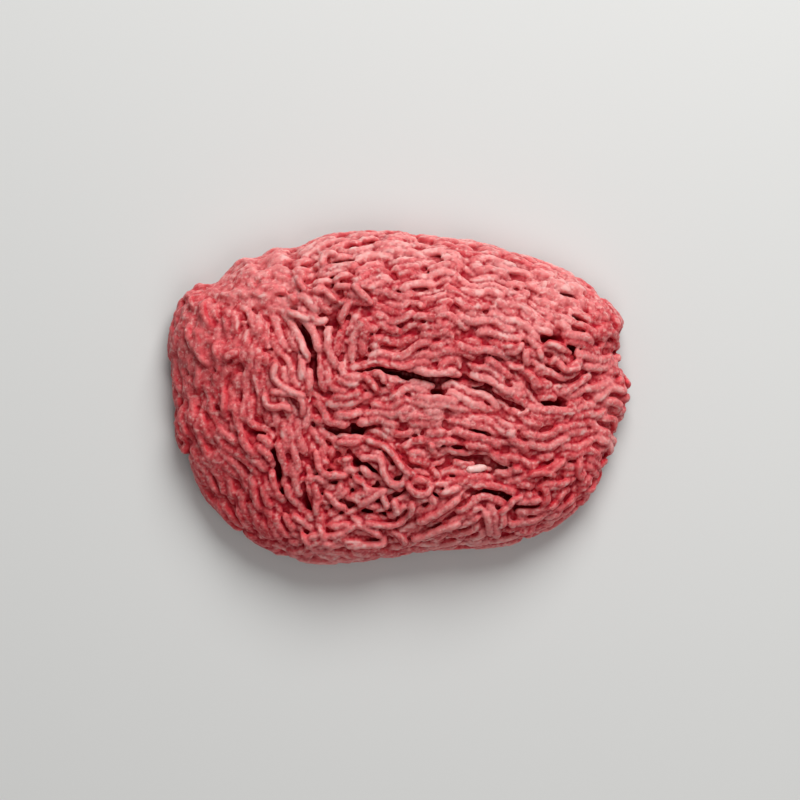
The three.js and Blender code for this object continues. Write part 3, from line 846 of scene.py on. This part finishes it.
# Fusing: strands and core become one skin, softened where the meat is pressed together
class Surface:
    """A skin of small triangles whose values can be spread between neighbouring points."""

    def __init__(self, points, faces, edges):
        self.points, self.faces = points, faces
        self.ends = np.concatenate([edges, edges[:, ::-1]])
        self.count = np.maximum(np.bincount(self.ends[:, 0], minlength=len(points)), 1)

    def around(self, values):
        """The mean of each point's neighbours."""
        columns = values.reshape(len(self.points), -1).T
        sums = [np.bincount(self.ends[:, 0], c[self.ends[:, 1]], len(self.points)) for c in columns]
        return (np.stack(sums, -1) / self.count[:, None]).reshape(values.shape)

    def soften(self, times, share=0.5):
        """Draws each point towards its neighbours; share can differ from point to point."""
        share = np.broadcast_to(share, len(self.points))[:, None]
        for _ in range(times):
            self.points = self.points + share * (self.around(self.points) - self.points)

    def normals(self):
        """The direction straight out of the skin at each point."""
        a, b, c = (self.points[self.faces[:, k]] for k in range(3))
        across = np.cross(b - a, c - a)
        total = np.zeros_like(self.points)
        for k in range(3):
            for axis in range(3):
                total[:, axis] += np.bincount(self.faces[:, k], across[:, axis], len(self.points))
        return unit(total, 1e-12)

    def creases(self, times, depth):
        """From 0 on a crest to 1 in a crease: how far a much softened skin lies above this one."""
        softened = self.points
        for _ in range(times):
            softened = 0.5 * softened + 0.5 * self.around(softened)
        over = ((softened - self.points) * self.normals()).sum(-1)
        return smoothstep(over, -depth, depth)


def largest_part(count, edges):
    """Marks the points that hang together with most others; a closed hollow inside is a part of its own."""
    label = np.arange(count)
    settled = False
    while not settled:
        lower = np.minimum(label[edges[:, 0]], label[edges[:, 1]])
        fresh = label.copy()
        np.minimum.at(fresh, edges[:, 0], lower)
        np.minimum.at(fresh, edges[:, 1], lower)
        fresh = fresh[fresh]
        settled = (fresh == label).all()
        label = fresh
    return label == np.bincount(label).argmax()


def fused(points, faces):
    """The outer skin around closed bodies that overlap."""
    raw = build_mesh("raw", points, faces)
    remesh = raw.modifiers.new("fuse", "REMESH")
    remesh.mode = "VOXEL"
    remesh.voxel_size = GRAIN_SIZE * MM
    remesh.adaptivity = 0.0
    graph = bpy.context.evaluated_depsgraph_get()
    mesh = bpy.data.meshes.new_from_object(raw.evaluated_get(graph))
    mesh.calc_loop_triangles()
    places = np.empty(len(mesh.vertices) * 3, np.float32)
    mesh.vertices.foreach_get("co", places)
    triangles = np.empty(len(mesh.loop_triangles) * 3, np.int32)
    mesh.loop_triangles.foreach_get("vertices", triangles)
    edges = np.empty(len(mesh.edges) * 2, np.int32)
    mesh.edges.foreach_get("vertices", edges)
    bpy.data.objects.remove(raw)
    bpy.data.meshes.remove(mesh)
    places, triangles, edges = places.reshape(-1, 3) / MM, triangles.reshape(-1, 3), edges.reshape(-1, 2)
    kept = largest_part(len(places), edges)
    number = np.cumsum(kept) - 1
    return Surface(places[kept], number[triangles[kept[triangles[:, 0]]]], number[edges[kept[edges[:, 0]]]])


def plain_foot(points, faces):
    """Faces with the small ones of the flat underside drawn together into large ones."""
    flat = points[:, 2] < FOOT_LEVEL
    rim = np.zeros(len(points), bool)
    rim[faces[~flat[faces].all(1)].ravel()] = True
    inner = np.flatnonzero(flat & ~rim)
    column, row = np.floor(points[inner, :2] / FOOT_CELL).T
    cell = column * 1000 + row
    _, first, inverse = np.unique(cell, return_index=True, return_inverse=True)
    target = np.arange(len(points))
    target[inner] = inner[first][inverse]
    faces = target[faces]
    a, b, c = faces.T
    return faces[(a != b) & (b != c) & (c != a)]


def nearest_strand(points, strands):
    """For each point: its strand's number and tone, the way along and around it, and the heap's normal."""
    middles, frames, tones, owners, ways = [], [], [], [], []
    for index, strand in enumerate(strands):
        middle, up = strand.middles()
        along = unit(np.gradient(middle, axis=0), TINY)
        middles.append(middle)
        frames.append(np.concatenate([along, np.cross(along, up), up], -1))
        tones.append(strand.tone)
        owners.append(np.full(len(middle), index))
        ways.append(np.arange(len(middle)) * SECTION_STEP)
    middles, frames = np.concatenate(middles), np.concatenate(frames)
    tones, owners, ways = (np.concatenate(part) for part in (tones, owners, ways))
    tree = kdtree.KDTree(len(middles))
    for i, place in enumerate(middles.tolist()):
        tree.insert(place, i)
    tree.balance()
    near = np.array([tree.find(place)[1] for place in points.tolist()])
    off = points - middles[near]
    way = ways[near] + (off * frames[near, :3]).sum(-1)
    side = (off * frames[near, 3:6]).sum(-1)
    lift = (off * frames[near, 6:]).sum(-1)
    return owners[near], tones[near], way, np.arctan2(lift, side), frames[near, 6:]


def fat_marks(points, owner, way, around):
    """Fat smeared along each strand, and the larger flecks, from 0 to 1."""
    coarse, fine = Noise(MARK_SEED), Noise(MARK_SEED + 1)
    turn_x, turn_y = np.cos(around), np.sin(around)
    streak = coarse(way * 0.3 + owner * 7.7, turn_x * 0.7 + owner * 1.3, turn_y * 0.7)
    patch = fine(way * 0.75 + owner * 5.1, turn_x * 1.3, turn_y * 1.3 + owner * 2.3)
    marks = 0.5 + 0.5 * np.clip(0.75 * streak + 0.5 * patch, -1, 1)
    # More fat marks where the meat is paler and fewer where shade is painted at the rim.
    marks = marks + 0.1 * tone_and_shade_of_place(points[:, 0], points[:, 1])
    for x, y, degrees, length, width in FLECKS:
        c, s = math.cos(math.radians(degrees)), math.sin(math.radians(degrees))
        along = (points[:, 0] - x) * c + (points[:, 1] - y) * s
        across = (points[:, 1] - y) * c - (points[:, 0] - x) * s
        spot = np.exp(-((2 * along / length) ** 4) - (2 * across / width) ** 2)
        marks = np.maximum(marks, spot * np.where(points[:, 2] > 5, 1, 0))
    return marks


# Laying the heap: an under layer, a top layer on it, then loose strands
def under_layer(heading):
    """Rows of strands a strand's thickness under the skin."""
    grid = layer_grid(heading, UNDER_SEED, wave=0.3, turn=0.5, loose_turn=0.8)
    rows = Rows(grid, UNDER_SPACING, STRAND * 0.45, UNDER_SEED + 10)
    rows.fill(starts=700, longest=60, shortest=6)
    rng = np.random.default_rng(UNDER_SEED + 20)
    strands = []
    for line in rows.lines:
        strand = Strand(line, rng.uniform(*UNDER_RADII), rng.uniform(0, 1))
        strand.height[:] = -UNDER_DEPTH + rng.uniform(-0.4, 0.4)
        strands.append(strand)
    return strands


def top_layer(heading, under):
    """Rows of strands that show, lying between and across those below."""
    grid = layer_grid(heading, TOP_SEED, wave=0.75, turn=0.25, loose_turn=1.1)
    rows = Rows(grid, TOP_SPACING, STRAND * 0.4, TOP_SEED + 10)
    rows.fill(starts=1500, longest=50, shortest=4)
    rng = np.random.default_rng(TOP_SEED + 20)
    pile = Pile(under)
    strands = []
    for line in rows.lines:
        strand = Strand(line, rng.uniform(*TOP_RADII), rng.uniform(0, 1), flattened=FLATTENED)
        strand.height = np.clip(pile.rest(strand, TOP_FLOOR, press=0.84), TOP_LOW, TOP_HIGH)
        strand.height += TOP_UNEVEN * rng.uniform(-1, 1)
        strand.height += (TOP_PRESSED - strand.height) * 0.95 * strand.pressed
        dip_ends(strand, *rng.choice(END_DIPS, 2, p=END_DIP_SHARES), 3.6)
        strands.append(strand)
    return strands


def wander(rng, start, angle, length, curl):
    """A random gently curling line from a start."""
    u, v = start
    line = [(u, v)]
    bend = 0.0
    for _ in range(int(length)):
        bend = 0.85 * bend + rng.normal(0, curl)
        angle += bend
        u, v = u + math.cos(angle), v + math.sin(angle)
        line.append((u, v))
    return line


def loose_layer(heading, below):
    """Loose strands where the heap has come apart, each lying on all that came before."""
    rng = np.random.default_rng(LOOSE_SEED)
    batches = 3
    strands = []
    for _ in range(batches):
        pile = Pile(below + strands)
        fresh = []
        for sx, sy, rx, ry, count in STREWN_STRANDS:
            for _ in range(math.ceil(count / batches)):
                x, y = sx + rx * rng.normal(0, 0.55), sy + ry * rng.normal(0, 0.55)
                u, v = (float(w) for w in roll_out(x, y))
                if gap_clearance(x, y) < 2.5 or skin(u, v)[2] < 8:
                    continue
                i, j = int(round(u + GRID_REACH)), int(round(v + GRID_REACH))
                angle = heading[i, j] + rng.choice([0, math.pi]) + rng.normal(0, 0.5)
                line = wander(rng, (u, v), angle, rng.uniform(5, 14), 0.06)
                strand = Strand(line, rng.uniform(*LOOSE_RADII), rng.uniform(0.2, 1))
                strand.height = np.clip(pile.rest(strand, LOOSE_LOW, press=0.74), LOOSE_LOW, LOOSE_HIGH)
                dip_ends(strand, *rng.uniform(0.6, 1.8, 2), 3.5)
                fresh.append(strand)
        strands.extend(fresh)
    return strands


def shown_strands(below):
    """The single strands that show plainly, laid in their order."""
    rng = np.random.default_rng(SHOWN_SEED)
    strands = []
    for line in LOOSE_LINES:
        u, v = roll_out(*open_curve(line, 8).T)
        strand = Strand(np.stack([u, v], -1), rng.uniform(*SHOWN_RADII), rng.uniform(0.5, 1.0), sway=0.3)
        rest = Pile(below + strands).rest(strand, SHOWN_LOW, press=0.78)
        strand.height = np.clip(rest, SHOWN_LOW, SHOWN_HIGH)
        dip_ends(strand, *rng.uniform(0.2, 0.8, 2), 2.5)
        strands.append(strand)
    return strands


def fat_strand(below):
    """The one large piece of plain fat, lying on the rows."""
    x, y, degrees, length, thickness = FAT_PIECE
    angle = math.radians(degrees)
    reach = np.linspace(-length / 2, length / 2, 8)
    u, v = roll_out(x + reach * math.cos(angle), y + reach * math.sin(angle))
    strand = Strand(np.stack([u, v], -1), thickness / 2, tone=1.0, sway=0.1, flattened=FLATTENED)
    strand.height = np.clip(Pile(below).rest(strand, FAT_LOW, press=0.7), FAT_LOW, FAT_HIGH)
    return strand


def bits(below):
    """Short ends and crumbs of meat, pressed into the rows."""
    rng = np.random.default_rng(BITS_SEED)
    strands = []
    pile = Pile(below)
    for sx, sy, rx, ry, count in STREWN_BITS:
        for _ in range(count):
            x, y = sx + rx * rng.uniform(-1, 1), sy + ry * rng.uniform(-1, 1)
            if math.hypot(x, y) > outline_radius(math.atan2(y, x)) * 0.98:
                continue
            if gap_clearance(x, y) < 1.5:
                continue
            u, v = (float(w) for w in roll_out(x, y))
            line = wander(rng, (u, v), rng.uniform(0, 6.28), rng.uniform(2.2, 4.5), 0.05)
            strand = Strand(line, rng.uniform(*BITS_RADII), rng.uniform(0, 1))
            strand.height = pile.rest(strand, BITS_FLOOR, press=0.8) - rng.uniform(1.2, 1.9)
            strand.height = np.clip(strand.height, BITS_LOW, BITS_HIGH - 1.1 * strand.pressed)
            strands.append(strand)
    return strands


def core_body():
    """The inside of the heap: its skin's form a little smaller, lumpy, with a flat foot."""
    ball = bmesh.new()
    bmesh.ops.create_icosphere(ball, subdivisions=7, radius=1.0)
    places = np.array([v.co[:] for v in ball.verts])
    faces = np.array([[v.index for v in face.verts] + [-1] for face in ball.faces])
    ball.free()
    down = np.arccos(np.clip(places[:, 2], -1, 1))
    turn = np.arctan2(places[:, 1], places[:, 0])
    radius = outline_radius(turn)
    foot_from = 2.3
    walked = FOOT * radius * np.minimum(down / foot_from, 1)
    u, v = walked * np.cos(turn), walked * np.sin(turn)
    ground = skin(u, v)
    lumps = Noise(CORE_SEED)
    rough = 0.5 * lumps(*(ground / 2.6).T) + 0.35 * lumps(*(ground / 1.3).T)
    trench = trench_depth(ground[:, 0], ground[:, 1])
    sunk = spot_field(ground[:, 0], ground[:, 1], HOLLOWS)
    inside = ground - skin_normal(u, v) * (CORE_DEPTH + sunk + trench - rough)[:, None]
    inside[:, 2] = np.maximum(inside[:, 2], 0)
    share = (math.pi - down) / (math.pi - foot_from)
    reach = (radius * OUT[-1] - CORE_DEPTH * 0.6) * share
    foot = np.stack([reach * np.cos(turn), reach * np.sin(turn), np.zeros_like(turn)], -1)
    return np.where((down < foot_from)[:, None], inside, foot), faces


# Materials
def srgb(red, green, blue):
    """A colour given as the eye reads it, from 0 to 255, in the linear values that a shader takes."""
    values = [c / 255 for c in (red, green, blue)]
    linear = [c / 12.92 if c <= 0.04045 else ((c + 0.055) / 1.055) ** 2.4 for c in values]
    return (*linear, 1.0)


class Shader:
    """Small helper to wire a material's nodes."""

    def __init__(self, name):
        self.material = bpy.data.materials.new(name)
        self.material.use_nodes = True
        self.tree = self.material.node_tree
        self.surface = self.tree.nodes["Principled BSDF"]

    def node(self, kind, inputs=None, **settings):
        made = self.tree.nodes.new(kind)
        for key, value in settings.items():
            setattr(made, key, value)
        for key, value in (inputs or {}).items():
            self.feed(made.inputs[key], value)
        return made

    def feed(self, socket, value):
        if isinstance(value, bpy.types.NodeSocket):
            self.tree.links.new(value, socket)
        else:
            socket.default_value = value

    def place(self):
        return self.node("ShaderNodeTexCoord").outputs["Object"]

    def noise(self, vector, scale, detail=2.0, roughness=0.5):
        made = self.node("ShaderNodeTexNoise", {"Vector": vector, "Scale": scale, "Detail": detail})
        made.inputs["Roughness"].default_value = roughness
        return made.outputs["Fac"]

    def range(self, value, low, high, to_low=0.0, to_high=1.0):
        made = self.node("ShaderNodeMapRange", {"Value": value, "From Min": low, "From Max": high})
        made.interpolation_type = "SMOOTHSTEP"
        made.inputs["To Min"].default_value = to_low
        made.inputs["To Max"].default_value = to_high
        return made.outputs["Result"]

    def math(self, operation, a, b=0.0):
        made = self.node("ShaderNodeMath", operation=operation)
        self.feed(made.inputs[0], a)
        self.feed(made.inputs[1], b)
        return made.outputs[0]

    def mix(self, share, a, b):
        made = self.node("ShaderNodeMix", data_type="RGBA")
        self.feed(made.inputs["Factor"], share)
        self.feed(made.inputs[6], a)
        self.feed(made.inputs[7], b)
        return made.outputs[2]

    def attribute(self, name):
        return self.node("ShaderNodeAttribute", attribute_name=name).outputs["Fac"]

    def coat(self, values):
        """Sets or links the surface's inputs."""
        for key, value in values.items():
            self.feed(self.surface.inputs[key], value)

    def bump(self, height):
        made = self.node("ShaderNodeBump", {"Height": height, "Strength": 0.5, "Distance": 0.0004})
        return made.outputs["Normal"]


# LEAN_DEEP is the lean's own deeper red and also the colour of the painted shade at the rim.
LEAN_DEEP = srgb(184, 50, 58)
LEAN = srgb(217, 97, 101)
LEAN_PALE = srgb(229, 147, 145)
# Pale colour painted on the crests that face up, as painted light.
LIT_CREST = srgb(233, 166, 161)
FAT = srgb(240, 206, 199)
# Saturated red painted on the sides that don't face up, as painted shade.
FLANK_SHADE = srgb(204, 38, 53)
# Dark red painted into the creases, as painted shade.
CREASE_SHADE = srgb(156, 5, 30)
# Darkest red painted into the pits and gaps deep under the skin, as painted shade.
PIT_SHADE = srgb(120, 3, 20)
PLAIN_FAT = srgb(238, 202, 196)
FAT_BLUSH = srgb(229, 160, 154)
FLOOR_GREY = srgb(214, 214, 212)


def meat():
    """Raw mince: lean meat from deep to pale, fat smeared along the strands, with painted light on the
    crests that face up and painted shade on the flanks, in the creases and pits and at the rim.
    """
    s = Shader("mince")
    place = s.place()
    mottle = s.noise(place, 360.0, 3.0, 0.55)
    # A low tone darkens the lean towards LEAN_DEEP, at random and as painted shade at the rim.
    light = s.range(s.attribute("tone"), -0.6, 0.5, 0.3, 1.0)
    lean = s.mix(s.math("MULTIPLY", s.range(mottle, 0.36, 0.6), light), LEAN_DEEP, LEAN)
    lean = s.mix(s.range(s.attribute("tone"), 0.2, 1.1, 0.0, 0.8), lean, LEAN_PALE)
    smear = s.range(s.attribute("fat"), 0.46, 0.92)
    specks = s.range(s.noise(place, 560.0, 2.0), 0.5, 0.74)
    fat = s.math("MAXIMUM", s.math("MULTIPLY", smear, 0.55), s.math("MULTIPLY", specks, 0.4))
    crease = s.attribute("crease")
    # Painted light: crests that face up are paled towards LIT_CREST. Fat marks are kept off the flanks and
    # creases, as painted shade.
    facing = s.range(s.attribute("flank"), 0.0, 0.75, 1.0, 0.08)
    lean = s.mix(s.math("MULTIPLY", s.range(crease, 0.0, 0.5, 0.34, 0.0), facing), lean, LIT_CREST)
    fat = s.math("MULTIPLY", s.math("MULTIPLY", fat, facing), s.range(crease, 0.3, 0.8, 1.0, 0.2))
    colour = s.mix(fat, lean, FAT)
    # Painted shade: sides that don't face up are reddened towards FLANK_SHADE.
    colour = s.mix(s.math("MULTIPLY", s.attribute("flank"), 0.4), colour, FLANK_SHADE)
    # Painted shade: creases are darkened towards CREASE_SHADE.
    colour = s.mix(s.range(crease, 0.34, 0.95, 0.0, 0.92), colour, CREASE_SHADE)
    # Painted shade: pits and gaps deep under the skin are darkened towards PIT_SHADE.
    colour = s.mix(s.attribute("pit_shade"), colour, PIT_SHADE)
    grain = s.math("ADD", s.noise(place, 900.0, 3.0), s.math("MULTIPLY", mottle, 0.6))
    s.coat({
        "Base Color": colour,
        "Roughness": s.range(mottle, 0.3, 0.7, 0.38, 0.56),
        "IOR": 1.4,
        "Specular IOR Level": s.range(crease, 0.3, 0.8, 0.15, 0.01),
        "Subsurface Weight": 0.65,
        "Subsurface Radius": (1.0, 0.24, 0.22),
        "Subsurface Scale": 0.0021,
        "Normal": s.bump(grain),
    })
    return s.material


def fat_material():
    """Plain fat, creamy white with a blush."""
    s = Shader("mince_fat")
    mottle = s.noise(s.place(), 260.0, 3.0, 0.6)
    s.coat({
        "Base Color": s.mix(s.range(mottle, 0.4, 0.7), PLAIN_FAT, FAT_BLUSH),
        "Roughness": 0.42,
        "Subsurface Weight": 0.4,
        "Subsurface Radius": (1.0, 0.6, 0.5),
        "Subsurface Scale": 0.0015,
        "Normal": s.bump(mottle),
    })
    return s.material


def dress(piece, material):
    """Gives a piece its material and puts it in the place of the solid."""
    piece.data.materials.append(material)
    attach(piece, "root")
    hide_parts("minced_beef")


def filling(points, squeezed):
    """How far the ground between the rows is raised, so that only the gaps are deep."""
    x, y = points[:, 0], points[:, 1]
    closed = smoothstep(gap_clearance(x, y), 0.6, 2.4) * (1 - 0.7 * looseness(x, y))
    share = np.maximum(0.55 * closed, 0.8 * squeezed)
    low = np.clip(skin_depth(points) - 2.5 + 0.9 * squeezed, 0, 3)
    return np.where(points[:, 2] > 12, share * low, 0)


def skin_depth(points):
    """How far points lie under the heap's outer skin, square to it, in millimetres."""
    u, v = roll_out(points[:, 0], points[:, 1])
    return (skin(u, v)[:, 2] - points[:, 2]) * skin_normal(u, v)[:, 2]


def raw_heap(strands):
    """Strands and core fused into one skin, still hard and rough."""
    points, faces = tubes(strands, SIDES, TUBE_SEED)
    core_points, core_faces = core_body()
    core_faces = np.where(core_faces >= 0, core_faces + len(points), -1)
    return fused(np.concatenate([points, core_points]), np.concatenate([faces, core_faces]))


def press_together(heap, squeezed):
    """Raises the ground between the rows, softens the skin and roughens it finely."""
    heap.points[:, 2] += filling(heap.points, squeezed)
    heap.soften(SOFT_ROUNDS)
    heap.soften(PRESSED_ROUNDS, PRESSED_SHARE * squeezed)
    grains = Noise(ROUGH_SEED)
    rough = 0.13 * grains(*(heap.points / 0.85).T)
    rough = rough + 0.26 * squeezed * grains(*(heap.points / 1.9 + 9).T)
    heap.points = heap.points + heap.normals() * rough[:, None]
    heap.points[:, 2] = np.maximum(heap.points[:, 2], 0)


def looks(heap, squeezed, strands):
    """The values at the skin's points that its colour follows, and each point's strand."""
    owner, tone, way, around, upright = nearest_strand(heap.points, strands)
    facing = (heap.normals() * upright).sum(-1)
    depth = skin_depth(heap.points)
    crease = heap.creases(10, 0.35) * (1 - 0.4 * squeezed)
    # Low ground between the rows on the top also gets the painted crease shade.
    low = 0.5 * smoothstep(depth, 1.5, 3.2) * smoothstep(heap.points[:, 2], 14, 20)
    fields = {
        "tone": tone,
        "fat": fat_marks(heap.points, owner, way, around),
        "crease": 1 - (1 - crease) * (1 - low),
        "flank": 1 - smoothstep(facing, 0.25, 0.97),
        # Where pit shade is painted: 3.4 to 6.5 mm under the skin.
        "pit_shade": smoothstep(depth, 3.4, 6.5),
    }
    return fields, owner


def split_by_strand(faces, strands, owner):
    """The faces in four lots of about the same size, from left to right, cut between strands."""
    middle_x = np.array([strand.ground[:, 0].mean() for strand in strands])[owner]
    cut = np.quantile(middle_x, [0.25, 0.5, 0.75])
    part = np.searchsorted(cut, middle_x[faces[:, 0]])
    return [faces[part == number] for number in range(4)]


def build_heap():
    """Lays the strands, fuses them and hands the skin over in four pieces, with the fat as a fifth."""
    heading = base_heading()
    under = under_layer(heading)
    top = top_layer(heading, under)
    loose = loose_layer(heading, under + top)
    shown = shown_strands(under + top + loose)
    strands = under + top + loose + shown + bits(under + top)
    heap = raw_heap(strands)
    squeezed = pressed(heap.points[:, 0], heap.points[:, 1])
    press_together(heap, squeezed)
    fields, owner = looks(heap, squeezed, strands)
    lots = split_by_strand(plain_foot(heap.points, heap.faces), strands, owner)
    material = meat()
    for label, chosen in zip(("left", "inner_left", "inner_right", "right"), lots):
        used, corners = np.unique(chosen, return_inverse=True)
        values = [(name, field[used]) for name, field in fields.items()]
        dress(build_mesh(f"mince_{label}", heap.points[used], corners.reshape(-1, 3), values), material)
    fat = fat_strand(under + top + loose)
    dress(build_mesh("mince_fat", *tubes([fat], FAT_SIDES, FAT_TUBE_SEED)), fat_material())


def build_floor():
    """The plain surface that the heap lies on, which is only part of the stage."""
    mesh = bpy.data.meshes.new("floor")
    corners = [(x * FLOOR_HALF, y * FLOOR_HALF, 0) for x, y in ((-1, -1), (1, -1), (1, 1), (-1, 1))]
    mesh.from_pydata(corners, [], [(0, 1, 2, 3)])
    floor = add_object("floor", mesh)
    s = Shader("floor")
    s.coat({"Base Color": FLOOR_GREY, "Roughness": 0.7})
    mesh.materials.append(s.material)


# Camera and light, in metres
CAMERA_HEIGHT = 1.6
VIEW_WIDTH = 0.3256  # of the ground that the picture's width takes in, at the height of the outline
CAMERA_OFF = (0.0006, -0.0008)
SENSOR = 36.0  # in millimetres
# Lamps: name, place, size, power in watts
LAMPS = [("key", (0.26, 0.93, 0.92), 0.9, 18.3), ("fill", (0.3, -0.6, 1.2), 0.9, 4.0)]
WORLD_STRENGTH = 0.18


def build_camera():
    data = bpy.data.cameras.new("camera")
    data.sensor_width = SENSOR
    data.lens = SENSOR * (CAMERA_HEIGHT - BELLY * MM) / VIEW_WIDTH
    data.clip_start = 0.05
    camera = add_object("camera", data)
    camera.location = (*CAMERA_OFF, CAMERA_HEIGHT)
    bpy.context.scene.camera = camera


def add_light(name, place, size, power):
    """A round white lamp that faces the heap's middle."""
    data = bpy.data.lights.new(name, "AREA")
    data.shape = "DISK"
    data.size = size
    data.energy = power
    light = add_object(name, data)
    light.location = place
    light.rotation_euler = Vector(place).to_track_quat("Z", "Y").to_euler()


def build_light():
    for lamp in LAMPS:
        add_light(*lamp)
    world = bpy.data.worlds.new("studio")
    world.use_nodes = True
    background = world.node_tree.nodes["Background"]
    background.inputs["Color"].default_value = (1.0, 1.0, 1.0, 1.0)
    background.inputs["Strength"].default_value = WORLD_STRENGTH
    bpy.context.scene.world = world
    bpy.context.scene.view_settings.view_transform = "Standard"


build_camera()
build_light()
build_floor()
build_heap()
